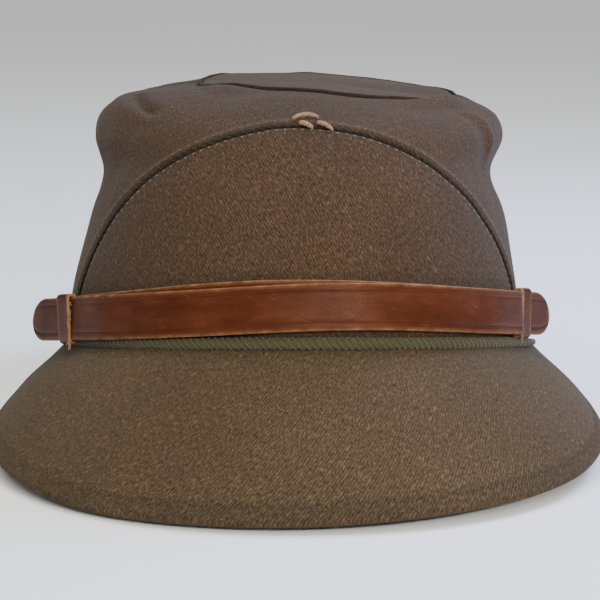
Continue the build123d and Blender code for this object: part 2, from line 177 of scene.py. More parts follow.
# ---------------------------------------------------------------- small mathematics
def place(points):
    """Rim-frame millimetres to the row's metres."""
    points = np.asarray(points, float)
    return (
        RIM_ORIGIN
        + points[..., 0:1] * MM * RIM_ACROSS
        + points[..., 1:2] * MM * RIM_FORWARD
        + points[..., 2:3] * MM * RIM_UP
    )


def smooth_step(x, low, high):
    s = np.clip((np.asarray(x, float) - low) / (high - low), 0, 1)
    return s * s * (3 - 2 * s)


def bump(x, middle, width):
    return np.exp(-(((np.asarray(x, float) - middle) / width) ** 2))


def unit(vectors):
    return vectors / np.linalg.norm(vectors, axis=-1, keepdims=True)


def wander(points, scale, seed):
    """Smooth noise on an array of points, about -1 to 1."""
    flat = np.reshape(points, (-1, 3)) / scale + seed
    return np.array([noise.noise(Vector(p)) for p in flat]).reshape(np.shape(points)[:-1])


def run_lengths(path):
    """How far along a path each of its points lies."""
    return np.concatenate([[0], np.cumsum(np.linalg.norm(np.diff(path, axis=0), axis=1))])


def section_angles(count):
    """Angles round a swept section; they start on its hidden side, where the uv seam goes."""
    return pi + np.linspace(0, 2 * pi, count, endpoint=False)


# ---------------------------------------------------------------- the crown's surface
def ring_values(level):
    """The six ring columns at fractional levels, by a smooth spline through the rings."""
    level = np.clip(np.asarray(level, float), 0, TOP_LEVEL)
    index = np.minimum(level.astype(int), TOP_LEVEL - 1)
    s = (level - index)[..., None]
    before, here = RINGS[np.maximum(index - 1, 0)], RINGS[index]
    after, beyond = RINGS[index + 1], RINGS[np.minimum(index + 2, TOP_LEVEL)]
    return 0.5 * (
        2 * here
        + (after - before) * s
        + (2 * before - 5 * here + 4 * after - beyond) * s**2
        + (3 * here - before - 3 * after + beyond) * s**3
    )


def crown_bare(turn, level):
    """Point of the plain crown."""
    height, half_width, half_length, back, slope, across = np.moveaxis(ring_values(level), -1, 0)
    slope = np.radians(slope)
    reach = half_length * np.cos(turn)
    aside = across + half_width * np.sin(turn)
    drop = RIGHT_DROP * smooth_step(aside, -5.0, 75.0) * smooth_step(level, 6.3, 8.2)
    return np.stack([aside, reach * np.cos(slope) - back, height - reach * np.sin(slope) - drop], -1)


def crown_normal(turn, level, turn_step=1e-3, level_step=0.02):
    along = crown_bare(turn + turn_step, level) - crown_bare(turn - turn_step, level)
    low = np.clip(level - level_step, 0, TOP_LEVEL)
    high = np.clip(level + level_step, 0, TOP_LEVEL)
    up = crown_bare(turn, high) - crown_bare(turn, low)
    normal = np.cross(along, up)
    normal /= np.linalg.norm(normal, axis=-1, keepdims=True) + 1e-12
    outward = np.stack([np.sin(turn), np.cos(turn), 0.3 + 0 * turn], -1)
    return normal * np.where((normal * outward).sum(-1, keepdims=True) < 0, -1, 1)


def crown_slack(turn, level):
    """How far the soft cloth stands off the plain crown: dents, folds and a gentle unevenness."""
    point = crown_bare(turn, level)
    degrees_round = np.degrees(turn)
    soft = smooth_step(level, 2.0, 5.0)
    firm_front = bump(degrees_round, 0, 62)
    relief = 1.5 * wander(point, 34.0, 3.7) * soft * (1 - 0.55 * firm_front)
    relief = relief + 0.35 * wander(point, 12.0, 9.1) * soft
    for (turn_a, level_a), (turn_b, level_b), depth, width in FOLDS:
        way = np.array([(turn_b - turn_a) * FOLD_TURN, (level_b - level_a) * FOLD_LEVEL])
        length = np.hypot(*way)
        way = way / length
        east, north = (degrees_round - turn_a) * FOLD_TURN, (level - level_a) * FOLD_LEVEL
        run = east * way[0] + north * way[1]
        aside = east * way[1] - north * way[0]
        reach = smooth_step(run, -4, 4) * (1 - smooth_step(run, length - 5, length + 5))
        crease = bump(aside, 0, width) - 0.45 * bump(aside, 2.2 * width, 1.6 * width)
        relief = relief + depth * crease * reach
    for (turn_at, level_at), height, turn_width, level_width in SWELLS:
        swell = bump(degrees_round, turn_at, turn_width) * bump(level, level_at, level_width)
        relief = relief + height * swell
    return relief


def crown_point(turn, level, stand=0.0):
    turn, level = np.broadcast_arrays(np.asarray(turn, float), np.asarray(level, float))
    normal = crown_normal(turn, level)
    return crown_bare(turn, level) + normal * (crown_slack(turn, level) + stand)[..., None]


def front_lookup(across, up):
    """Turn and level of the front crown where it has this place across and this height."""
    across, up = np.broadcast_arrays(np.asarray(across, float), np.asarray(up, float))
    low, high = np.zeros(across.shape), np.full(across.shape, float(TOP_LEVEL))
    for _ in range(30):
        middle = (low + high) / 2
        ring = ring_values(middle)
        turn = np.arcsin(np.clip((across - ring[..., 5]) / ring[..., 1], -0.9999, 0.9999))
        below = crown_bare(turn, middle)[..., 2] < up
        low, high = np.where(below, middle, low), np.where(below, high, middle)
    return turn, middle


def arch_lookup(angle, past=0.0, rise=1.0, skew=0.0):
    """Turn and level of a point of the crescent's outline, past millimetres outside it."""
    across = (CRESCENT_HALF_WIDTH + past) * np.sin(angle) * np.ones_like(rise)
    up = (CRESCENT_HEIGHT + past) * np.cos(angle) * rise + skew
    return front_lookup(across, up)


def past_arch(across, up):
    """Millimetres past the crescent's edge; negative inside it."""
    up = np.maximum(up, 0)
    share = np.sqrt((across / CRESCENT_HALF_WIDTH) ** 2 + (up / CRESCENT_HEIGHT) ** 2)
    return (share - 1) * np.hypot(across, up) / np.maximum(share, 1e-6)


# ---------------------------------------------------------------- meshes
def painted_shade_and_wear_rows(shade, worn=0.0):
    """Colours of a mesh's points: red is painted shade, green the worn edge of leather and a painted
    highlight on wool.
    """
    return np.stack([shade, worn + 0 * shade, 0 * shade], -1).reshape(-1, 3)


def new_piece(name, vertices, faces, uvs, painted_shade_and_wear=(1, 0, 0)):
    """Mesh object from rim-frame millimetres; uvs are millimetres along the cloth."""
    mesh = bpy.data.meshes.new(name)
    mesh.from_pydata([tuple(v) for v in place(vertices)], [], [tuple(f) for f in faces])
    layer = mesh.uv_layers.new(name="cloth")
    corners = np.empty(len(mesh.loops), dtype=np.int64)
    mesh.loops.foreach_get("vertex_index", corners)
    layer.data.foreach_set("uv", (np.asarray(uvs) * MM)[corners].astype(np.float32).ravel())
    # Colour attribute: red is painted shade, green worn leather edges and painted highlights on wool.
    colour = mesh.color_attributes.new(name="painted_shade_and_wear", type="FLOAT_COLOR", domain="POINT")
    rows = np.ones((len(mesh.vertices), 4), np.float32)
    rows[:, :3] = np.asarray(painted_shade_and_wear, np.float32)
    colour.data.foreach_set("color", rows.ravel())
    mesh.polygons.foreach_set("use_smooth", [True] * len(mesh.polygons))
    mesh.update()
    piece = bpy.data.objects.new(name, mesh)
    bpy.context.scene.collection.objects.link(piece)
    return piece


def finish_piece(piece, body, slot, material, *nodes):
    """Turns a closed mesh's faces outward, gives it its material, hangs it on its body and hides the nodes
    it replaces.
    """
    mesh = bmesh.new()
    mesh.from_mesh(piece.data)
    bmesh.ops.recalc_face_normals(mesh, faces=mesh.faces)
    mesh.to_mesh(piece.data)
    mesh.free()
    piece.data.materials.append(material)
    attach(piece, body)
    if nodes:
        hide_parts(*nodes)


def grid_faces(rows, columns, wrap=False, start=0, flip=False):
    faces = []
    for row in range(rows - 1):
        for column in range(columns if wrap else columns - 1):
            a = start + row * columns + column
            b = start + row * columns + (column + 1) % columns
            face = (a, b, b + columns, a + columns)
            faces.append(face[::-1] if flip else face)
    return faces


def two_faces(outer, inner):
    return np.concatenate([outer.reshape(-1, 3), inner.reshape(-1, 3)])


def closed_sheet(name, outer, inner, painted_shade_and_wear, uvs):
    """Closed cloth from two matching grids: outer face, inner face and the edge between them."""
    rows, columns = outer.shape[:2]
    count = rows * columns
    faces = grid_faces(rows, columns, flip=True) + grid_faces(rows, columns, start=count)
    border = [*range(columns)]
    border += [row * columns + columns - 1 for row in range(1, rows)]
    border += [(rows - 1) * columns + column for column in range(columns - 2, -1, -1)]
    border += [row * columns for row in range(rows - 2, 0, -1)]
    for here, after in zip(border, border[1:] + border[:1]):
        faces.append((here, after, after + count, here + count))
    uvs = np.tile(uvs.reshape(-1, 2), (2, 1))
    return new_piece(name, two_faces(outer, inner), faces, uvs, np.tile(painted_shade_and_wear, (2, 1)))


def closed_lid(name, outer, inner, painted_shade_and_wear):
    """Closed oval sheet from two stacks of rings that shrink to the middle."""
    rows, columns = outer.shape[:2]
    count = rows * columns
    faces = grid_faces(rows, columns, wrap=True) + grid_faces(rows, columns, wrap=True, start=count)
    faces.append(tuple(count - columns + c for c in range(columns)))
    faces.append(tuple(2 * count - columns + c for c in range(columns)))
    faces += [(c, (c + 1) % columns, count + (c + 1) % columns, count + c) for c in range(columns)]
    vertices = two_faces(outer, inner)
    return new_piece(name, vertices, faces, vertices[:, :2], np.tile(painted_shade_and_wear, (2, 1)))


def tube_faces(rows, columns, closed=False):
    """Faces of a tube: its ends are joined to each other, or capped."""
    faces = grid_faces(rows, columns, wrap=True)
    last = (rows - 1) * columns
    if closed:
        return faces + [(last + c, last + (c + 1) % columns, (c + 1) % columns, c) for c in range(columns)]
    return faces + [tuple(range(columns))[::-1], tuple(last + c for c in range(columns))]


def sweep(name, path, normals, profile, painted_shade_and_wear, closed=False):
    """Section swept along a path: profile rows are (along the normal, along the side)."""
    ways = np.roll(path, -1, 0) - np.roll(path, 1, 0) if closed else np.gradient(path, axis=0)
    ways = unit(ways)
    normals = unit(normals - ways * (normals * ways).sum(1, keepdims=True))
    sides = np.cross(ways, normals)
    points = (
        path[:, None]
        + profile[..., 0:1] * normals[:, None]
        + profile[..., 1:2] * sides[:, None]
    )
    rows, columns = points.shape[:2]
    around = np.zeros((rows, columns))
    around[:, 1:] = np.cumsum(np.linalg.norm(np.diff(points, axis=1), axis=-1), axis=1)
    uvs = np.stack([np.repeat(run_lengths(path)[:, None], columns, 1), around], -1)
    faces = tube_faces(rows, columns, closed)
    return new_piece(name, points.reshape(-1, 3), faces, uvs.reshape(-1, 2), painted_shade_and_wear)


def strand(path, radius, sides=8, taper=0.35):
    """Closed thread along a path, as (vertices, faces, uvs); its ends are drawn in."""
    ways = unit(np.gradient(path, axis=0))
    side = unit(np.cross(ways, np.array([0.13, 0.31, 0.94])))
    other = np.cross(ways, side)
    s = np.clip(np.linspace(0, 1, len(path)), 0.02, 0.98)
    girth = radius * (taper + (1 - taper) * np.sin(np.pi * s) ** 0.4)
    angles = np.linspace(0, 2 * pi, sides, endpoint=False)
    rings = (
        path[:, None]
        + girth[:, None, None] * (np.cos(angles)[None, :, None] * side[:, None])
        + girth[:, None, None] * (np.sin(angles)[None, :, None] * other[:, None])
    )
    uvs = np.stack([np.repeat(run_lengths(path), sides), np.tile(angles * radius, len(path))], 1)
    return rings.reshape(-1, 3), tube_faces(len(path), sides), uvs


def joined(name, solids):
    """One piece from several small closed meshes, each (vertices, faces, uvs)."""
    vertices, faces, uvs = [], [], []
    for points, polygons, uv in solids:
        start = len(vertices)
        vertices.extend(points)
        uvs.extend(uv)
        faces.extend(tuple(start + i for i in polygon) for polygon in polygons)
    return new_piece(name, np.array(vertices), faces, np.array(uvs))


# ---------------------------------------------------------------- materials
WAVE_PERIOD = 0.314        # metres between the bands of a wave texture of scale 1


class Shader:
    """One material and the nodes that lead to its surface."""

    def __init__(self, name, roughness, **settings):
        self.material = bpy.data.materials.new(name)
        self.material.use_nodes = True
        self.tree = self.material.node_tree
        self.surface = self.tree.nodes["Principled BSDF"]
        self.surface.inputs["Roughness"].default_value = roughness
        for key, value in settings.items():
            self.surface.inputs[key.replace("_", " ")].default_value = value

    def node(self, kind, values=(), **settings):
        made = self.tree.nodes.new(kind)
        for key, value in settings.items():
            setattr(made, key, value)
        for key, value in dict(values).items():
            if isinstance(value, bpy.types.NodeSocket):
                self.tree.links.new(value, made.inputs[key])
            else:
                made.inputs[key].default_value = value
        return made

    def cloth_space(self, turn=0.0, along=1.0, across=1.0):
        """Uv along the cloth in metres, turned by degrees, then drawn out along its own axes."""
        uv = self.node("ShaderNodeUVMap", uv_map="cloth")
        made = self.node("ShaderNodeMapping", {"Vector": uv.outputs[0]}, vector_type="TEXTURE")
        made.inputs["Rotation"].default_value = (0, 0, radians(turn))
        made.inputs["Scale"].default_value = (along, across, 1.0)
        return made.outputs[0]

    def solid_space(self):
        return self.node("ShaderNodeTexCoord").outputs["Object"]

    def noise(self, space, scale, detail=4.0, roughness=0.6, distortion=0.0):
        values = {"Vector": space, "Scale": scale, "Detail": detail, "Roughness": roughness}
        return self.node("ShaderNodeTexNoise", values | {"Distortion": distortion}).outputs["Fac"]

    def bands(self, space, scale, distortion=0.0, detail_scale=1.0):
        values = {"Vector": space, "Scale": scale, "Distortion": distortion, "Detail": 2.0}
        values["Detail Scale"] = detail_scale
        return self.node("ShaderNodeTexWave", values, wave_type="BANDS").outputs["Fac"]

    def ramp(self, value, stops):
        made = self.node("ShaderNodeValToRGB", {"Fac": value})
        elements = made.color_ramp.elements
        while len(elements) < len(stops):
            elements.new(0.5)
        for element, (place_at, colour) in zip(elements, stops):
            element.position = place_at
            element.color = (*colour, 1)
        return made.outputs["Color"]

    def math(self, operation, first, second, clamp=False):
        made = self.node("ShaderNodeMath", {0: first, 1: second}, operation=operation, use_clamp=clamp)
        return made.outputs[0]

    def times(self, first, second, clamp=False):
        return self.math("MULTIPLY", first, second, clamp)

    def plus(self, first, second, clamp=False):
        return self.math("ADD", first, second, clamp)

    def minus(self, first, second):
        return self.math("SUBTRACT", first, second)

    def mix(self, share, first, second, blend="MIX"):
        made = self.node("ShaderNodeMix", data_type="RGBA", blend_type=blend)
        for socket, value in ((0, share), (6, first), (7, second)):
            if isinstance(value, bpy.types.NodeSocket):
                self.tree.links.new(value, made.inputs[socket])
            elif socket == 0:
                made.inputs[socket].default_value = value
            else:
                made.inputs[socket].default_value = (*value, 1)
        return made.outputs[2]

    def painted_shade_and_wear(self):
        """The mesh's painted shade, and its worn edge, which on wool is a painted highlight."""
        made = self.node("ShaderNodeAttribute", attribute_name="painted_shade_and_wear", attribute_type="GEOMETRY")
        parts = self.node("ShaderNodeSeparateColor", {"Color": made.outputs["Color"]})
        return parts.outputs[0], parts.outputs[1]

    def shaded(self, colour):
        """The colour darkened by the mesh's painted shade."""
        shade = self.painted_shade_and_wear()[0]
        grey = self.node("ShaderNodeCombineColor", {0: shade, 1: shade, 2: shade}).outputs[0]
        return self.mix(1.0, colour, grey, "MULTIPLY")

    def bump(self, height, depth):
        made = self.node("ShaderNodeBump", {"Height": height, "Strength": 1.0, "Distance": depth})
        return made.outputs["Normal"]

    def finish(self, colour=None, normal=None, roughness=None):
        for socket, value in (("Base Color", colour), ("Normal", normal), ("Roughness", roughness)):
            if value is not None:
                self.tree.links.new(value, self.surface.inputs[socket])
        return self.material


def wool(name, dark, middle, light, twill_turn):
    """Heathered wool serge: short slanting hairs of mixed shades over a faint twill, with a soft nap."""
    made = Shader(name, 0.95, Sheen_Weight=0.035, Sheen_Roughness=0.5, Specular_IOR_Level=0.12)
    twill = made.bands(made.cloth_space(twill_turn), 330.0, 3.0, 2.5)
    yarn = made.noise(made.cloth_space(twill_turn, across=2.6), 1700.0, 3.0, 0.6)
    cross = made.noise(made.cloth_space(twill_turn - 52, across=2.0), 1500.0, 2.0, 0.55)
    fleck = made.noise(made.cloth_space(twill_turn + 8, across=3.2), 1250.0, 1.0, 0.5, 0.5)
    tuft = made.noise(made.cloth_space(twill_turn, across=1.6), 520.0, 3.0, 0.6)
    cloud = made.noise(made.solid_space(), 22.0, 3.0, 0.55)
    mixed = made.plus(made.times(twill, 0.10), made.times(yarn, 0.52))
    mixed = made.plus(mixed, made.times(cross, 0.38))
    colour = made.ramp(mixed, [(0.34, dark), (0.50, middle), (0.68, light)])
    hairs = made.times(made.minus(fleck, 0.60), 6.0, clamp=True)
    pale = tuple(1.55 * c for c in light)
    colour = made.mix(made.times(hairs, 0.42), colour, pale)
    patch = made.ramp(cloud, [(0.25, (0.84, 0.84, 0.85)), (0.75, (1.13, 1.12, 1.10))])
    colour = made.mix(0.9, colour, patch, "MULTIPLY")
    patch = made.ramp(tuft, [(0.3, (0.86, 0.85, 0.84)), (0.7, (1.12, 1.12, 1.12))])
    colour = made.mix(0.9, colour, patch, "MULTIPLY")
    # Painted shade from the mesh darkens the wool, and its painted highlight turns the seam's raised edge
    # pale.
    colour = made.shaded(colour)
    colour = made.mix(made.times(made.painted_shade_and_wear()[1], 0.5), colour, pale)
    height = made.plus(mixed, made.times(hairs, 0.25))
    return made.finish(colour, made.bump(height, 0.00022))


def leather(name, dark, middle, light, raw, roughness):
    """Smooth strap leather: waxed face, fine scratches and raw worn edges."""
    made = Shader(name, roughness, Specular_IOR_Level=0.09, Specular_Tint=(1.0, 0.70, 0.55, 1.0))
    space = made.cloth_space()
    grain = made.noise(space, 1500.0, 3.0, 0.6)
    pores = made.node("ShaderNodeTexVoronoi", {"Vector": space, "Scale": 1900.0}).outputs["Distance"]
    cloud = made.noise(made.cloth_space(0, along=2.4), 130.0, 5.0, 0.62)
    streak = made.noise(made.cloth_space(2.0, along=14.0), 1500.0, 4.0, 0.7)
    scratch = made.noise(made.cloth_space(-24.0, along=12.0), 1900.0, 2.0, 0.5)
    colour = made.ramp(cloud, [(0.25, dark), (0.52, middle), (0.80, light)])
    patch = made.ramp(streak, [(0.25, (0.84, 0.82, 0.80)), (0.75, (1.14, 1.13, 1.12))])
    colour = made.mix(0.8, colour, patch, "MULTIPLY")
    cuts = made.times(made.minus(scratch, 0.66), 8.0, clamp=True)
    colour = made.mix(made.times(cuts, 0.22), colour, raw)
    worn = made.painted_shade_and_wear()[1]
    # Painted shade from the mesh darkens the leather.
    colour = made.shaded(colour)
    fray = made.noise(made.cloth_space(), 420.0, 5.0, 0.7)
    frayed = made.times(worn, made.plus(fray, 0.45), clamp=True)
    fibres = made.ramp(fray, [(0.3, tuple(0.45 * c for c in raw)), (0.7, raw)])
    colour = made.mix(frayed, colour, fibres)
    height = made.plus(made.times(grain, 0.6), made.times(pores, 0.5))
    height = made.minus(height, made.times(cuts, 0.7))
    height = made.plus(height, made.times(frayed, fray))
    gloss = made.times(made.noise(space, 190.0, 4.0, 0.6), 0.30)
    gloss = made.plus(gloss, roughness - 0.15)
    gloss = made.plus(gloss, made.times(frayed, 0.45), clamp=True)
    return made.finish(colour, made.bump(height, 0.00008), gloss)


def thread_stuff(name, dark, light):
    """Twisted thread: the twist shows as slanting bands."""
    made = Shader(name, 0.8, Sheen_Weight=0.15, Specular_IOR_Level=0.25)
    twist = made.bands(made.cloth_space(38.0), 420.0, 1.0)
    fuzz = made.noise(made.solid_space(), 2200.0, 3.0, 0.6)
    mixed = made.plus(made.times(twist, 0.55), made.times(fuzz, 0.45))
    # Painted shade from the mesh darkens the thread: on the welt, its rib grooves and its left end.
    colour = made.shaded(made.ramp(mixed, [(0.2, dark), (0.8, light)]))
    return made.finish(colour, made.bump(mixed, 0.00022))


def plain_weave(name, dark, light, pitch):
    """Plain woven cotton: threads over and under, pitch metres apart."""
    made = Shader(name, 0.88, Sheen_Weight=0.08, Specular_IOR_Level=0.25)
    wave_scale = WAVE_PERIOD / pitch
    warp = made.bands(made.cloth_space(0.0), wave_scale, 0.8)
    weft = made.bands(made.cloth_space(90.0), wave_scale, 0.8)
    weave = made.times(made.plus(warp, weft), 0.5)
    slub = made.noise(made.solid_space(), 160.0, 4.0, 0.65)
    mixed = made.plus(made.times(weave, 0.5), made.times(slub, 0.5))
    colour = made.ramp(mixed, [(0.2, dark), (0.8, light)])
    return made.finish(colour, made.bump(weave, 0.00025))


def solid_stuff(name, dark, light, scale, roughness, metallic=0.0):
    """Board, brass, tape, buckram and bare leather: clouded in the piece's own space, without a uv."""
    made = Shader(name, roughness, Metallic=metallic)
    cloud = made.noise(made.solid_space(), scale, 6.0, 0.6)
    fine = made.noise(made.solid_space(), scale * 9, 3.0, 0.6)
    colour = made.ramp(cloud, [(0.3, dark), (0.7, light)])
    rough = made.plus(made.times(fine, 0.25), roughness - 0.12)
    return made.finish(colour, made.bump(fine, 0.00005), rough)


WOOL = wool(
    "crown_wool", (0.0200, 0.0113, 0.0059), (0.0425, 0.0258, 0.0141), (0.0860, 0.0555, 0.0330), 30.0)
VISOR_WOOL = wool(
    "visor_wool", (0.0240, 0.0147, 0.0071), (0.0510, 0.0340, 0.0172), (0.1010, 0.0715, 0.0400), 34.0)
STRAP = leather(
    "strap_leather", (0.034, 0.0082, 0.0031), (0.058, 0.0152, 0.0059), (0.092, 0.0280, 0.0120),
    (0.33, 0.165, 0.070), 0.34)
BAND = leather(
    "band_leather", (0.115, 0.058, 0.028), (0.170, 0.092, 0.047), (0.235, 0.140, 0.080),
    (0.33, 0.22, 0.13), 0.5)
THREAD = thread_stuff("tan_thread", (0.150, 0.082, 0.036), (0.36, 0.225, 0.115))
STITCH = thread_stuff("stitch_thread", (0.070, 0.050, 0.031), (0.170, 0.128, 0.082))
WELT = thread_stuff("welt_braid", (0.022, 0.0195, 0.0055), (0.078, 0.068, 0.022))
COTTON = plain_weave("lining_cotton", (0.070, 0.062, 0.040), (0.145, 0.130, 0.088), 0.0009)
TAPE = solid_stuff("seam_tape", (0.10, 0.085, 0.055), (0.17, 0.15, 0.10), 700.0, 0.85)
BOARD = solid_stuff("fibre_board", (0.060, 0.042, 0.028), (0.115, 0.085, 0.058), 500.0, 0.8)
BRASS = solid_stuff("dull_brass", (0.30, 0.20, 0.075), (0.52, 0.37, 0.16), 320.0, 0.38, 1.0)
BARE = solid_stuff("socket_leather", (0.075, 0.026, 0.012), (0.135, 0.048, 0.024), 420.0, 0.6)
BUCKRAM = solid_stuff("buckram_solid", (0.22, 0.19, 0.13), (0.42, 0.38, 0.28), 900.0, 0.9)

# ---------------------------------------------------------------- crown
def painted_seam_shade_and_highlight(past, shade=1.0):
    """Painted shade in the crescent's seam, and a painted highlight on its raised upper edge."""
    dark = 1 - 0.60 * bump(past, 0.1, 1.1)
    return painted_shade_and_wear_rows(dark * shade, 0.30 * bump(past, 2.0, 0.7))


def plain_seam(aside):
    """How much a plain seam's groove sinks, and where its pressed edges stand up."""
    return SEAM_DENT * bump(aside, 0, SEAM_DENT_WIDTH), bump(aside, SEAM_ROLL_FROM, SEAM_ROLL_WIDTH)


def plain_seam_shade(aside):
    # Painted shade in a plain seam's groove.
    return 1 - 0.45 * bump(aside, 0, 1.2)


def stitch_wave(across, up):
    """Puckers between the stitches along the crescent."""
    return np.cos(2 * CRESCENT_ARC * np.arctan2(across, up) / STITCH_STEP)


def band_uv(turn, level):
    """Uv round the crown and up its slope, over the roll at the top as well."""
    fine = np.linspace(0, TOP_LEVEL, 120)
    rings = ring_values(fine)
    steps = np.hypot(np.diff(rings[:, 0]), np.diff((rings[:, 1] + rings[:, 2]) / 2))
    slant = np.interp(level, fine, np.concatenate([[0], np.cumsum(steps)]))
    return np.stack([turn * CROWN_RADIUS + 7.0, slant + 3.0], -1)


def crown_sheet(name, node, turn, level, stand, least, painted_shade_and_wear, uvs):
    """One piece of the crown's cloth; least keeps its inner face off the raised seams."""
    outer = crown_point(turn, level, stand)
    inner = crown_point(turn, level, np.minimum(stand, least) - WALL)
    piece = closed_sheet(name, outer, inner, painted_shade_and_wear, uvs)
    finish_piece(piece, "cap", "crown_wool", WOOL, node)


def front_panel():
    """The crescent: its edge turns down into the seam and puckers at the stitches."""
    columns, rows = 300, 120
    angle = np.radians(np.linspace(-88.6, 88.6, columns))[None, :]
    rise = np.sin(np.linspace(0, pi / 2, rows))[:, None]
    turn, level = arch_lookup(angle, 0.0, rise)
    across = CRESCENT_HALF_WIDTH * np.sin(angle) * np.ones_like(rise)
    up = CRESCENT_HEIGHT * np.cos(angle) * rise
    past = past_arch(across, up)
    stand = PANEL_STAND - 0.8 * bump(past, 0.2, 1.2)
    stand = stand + 0.16 * stitch_wave(across, np.maximum(up, 0.01)) * bump(past, -1.9, 0.9)
    uvs = np.stack([np.arcsin(np.clip(across / 92.0, -1, 1)) * 96.0, up], -1)
    # Painted shade along the crescent seam's groove.
    crown_sheet(
        "front_panel_cloth", "front_panel", turn, level, stand, PANEL_STAND, painted_seam_shade_and_highlight(past), uvs)


def crown_front_band():
    """Cloth above and beside the crescent, from side seam to side seam, with a rolled seam edge."""
    columns, rows = 360, 110
    arch_share = 0.78                  # of the columns stand on the arch, the others on the rim
    share = np.linspace(-1, 1, columns)
    on_arch = np.abs(share) <= arch_share
    low_turn, low_level = arch_lookup(np.radians(89.4) * np.clip(share / arch_share, -1, 1))
    beyond = np.sign(share) * np.clip((np.abs(share) - arch_share) / (1 - arch_share), 0, 1)
    low_turn = np.where(on_arch, low_turn, low_turn + beyond * (SIDE_SEAM - abs(low_turn[-1])))
    low_level = np.where(on_arch, low_level, 0.0)
    rise = np.linspace(0, 1, rows)[:, None] ** 1.25
    turn = low_turn + (share * SIDE_SEAM - low_turn) * rise
    level = low_level + (TOP_LEVEL - low_level) * rise
    across, _, up = np.moveaxis(crown_bare(turn, level), -1, 0)
    past = np.where(np.abs(turn) < radians(80), past_arch(across, up), 40.0)
    stand = BAND_STAND + 0.24 * bump(past, 2.0, 0.8) - 0.55 * bump(past, -0.1, 1.0)
    stand = stand + 0.14 * stitch_wave(across, up) * bump(past, 1.5, 0.8)
    side = np.degrees(SIDE_SEAM - np.abs(turn)) * SIDE_DEGREE
    dent, roll = plain_seam(side)
    # Painted shade in the crescent's and the side seams' grooves, and a painted highlight on the crescent
    # seam's raised edge.
    painted_shade_and_wear = painted_seam_shade_and_highlight(past, plain_seam_shade(side))
    crown_sheet(
        "crown_front_band_cloth", "crown_front_band", turn, level, stand - dent + 0.25 * roll,
        BAND_STAND, painted_shade_and_wear, band_uv(turn, level))


def crown_quarter(name, node, sign):
    """Back quarter between a side seam and the centre back seam."""
    columns, rows = 170, 130
    turn = sign * np.linspace(SIDE_SEAM, pi, columns)[None, :] * np.ones((rows, 1))
    level = np.linspace(0, TOP_LEVEL, rows)[:, None] * np.ones((1, columns))
    side = np.degrees(np.abs(turn) - SIDE_SEAM) * SIDE_DEGREE
    back = np.degrees(pi - np.abs(turn)) * BACK_DEGREE
    stand = BAND_STAND - 0.25 * bump(ring_values(level)[..., 0], 6.0, 0.7)
    for aside in (side, back):
        dent, roll = plain_seam(aside)
        stand = stand - dent + 0.3 * roll
    # Painted shade in the grooves of the side and back seams.
    painted_shade_and_wear = painted_shade_and_wear_rows(plain_seam_shade(side) * plain_seam_shade(back))
    crown_sheet(name, node, turn, level, stand, BAND_STAND, painted_shade_and_wear, band_uv(turn, level))


def top_ring(count, stand):
    turn = np.linspace(-pi, pi, count, endpoint=False)
    return crown_point(turn, np.full(count, float(TOP_LEVEL)), stand)


def top_seam():
    """Turned seam round the top: a soft ridge of doubled cloth, uneven as hand-pressed wool is."""
    path = top_ring(420, 0.2)
    normals = path - path.mean(0) + np.array([0, 0, 26.0])
    angles = section_angles(14)
    swell = 1 + 0.16 * wander(path, 9.0, 2.2)
    profile = np.stack([np.cos(angles) * 0.75, np.sin(angles) * 1.1], -1)[None] * swell[:, None, None]
    # The ridge's wool is darkened to 0.38: painted shade of the seam line.
    piece = sweep("top_seam_ridge", path, normals, profile, (0.38, 0, 0), closed=True)
    finish_piece(piece, "cap", "crown_wool", WOOL, "top_seam_fold")


def top_panel():
    """Soft domed oval inside the top seam."""
    ring = top_ring(240, -0.6)
    centre = ring.mean(0)
    share = np.cos(np.linspace(0, pi / 2 - 0.02, 46))[:, None, None]
    points = centre + (ring[None] - centre) * share
    from_edge = (1 - share[..., 0]) * 55
    dome = 2.0 * (1 - np.exp(-from_edge / 1.5)) + 0.6 * (1 - share[..., 0] ** 2)
    points[..., 2] += dome + 1.0 * wander(points, 30.0, 6.6) * (1 - share[..., 0] ** 4)
    # Painted shade round the panel's edge, where it sinks under the top seam.
    edge = 0.5 + 0.5 * smooth_step(from_edge, 0.3, 2.2) + 0 * points[..., 2]
    piece = closed_lid("top_panel_cloth", points, points - np.array([0, 0, WALL]), painted_shade_and_wear_rows(edge))
    finish_piece(piece, "cap", "crown_wool", WOOL, "top_panel")


def crescent_fold():
    """Raw fold of the crescent seam, twisted by its stitches like a rope lying in the groove; painted
    shade darkens it.
    """
    turn, level = arch_lookup(np.radians(np.linspace(-88.2, 88.2, 1500)), 0.25)
    path = crown_point(turn, level, -0.05)
    around = section_angles(12)
    twist = 2 * pi * run_lengths(path)[:, None] / STITCH_STEP + 2 * around[None, :]
    rib = (1 + 0.20 * np.cos(twist)) * (1 + 0.14 * wander(path, 5.0, 3.3))[:, None]
    profile = np.stack([0.55 * np.cos(around), 1.1 * np.sin(around)], -1)[None] * rib[..., None]
    # Painted shade of the groove darkens the fold, lighter and darker along its twist as painted shade of
    # the ribs.
    painted_shade_and_wear = painted_shade_and_wear_rows(0.46 + 0.22 * np.cos(twist + 0.7))
    piece = sweep("crescent_seam_fold", path, crown_normal(turn, level), profile, painted_shade_and_wear)
    finish_piece(piece, "cap", "crown_wool", WOOL, "front_seam_fold")


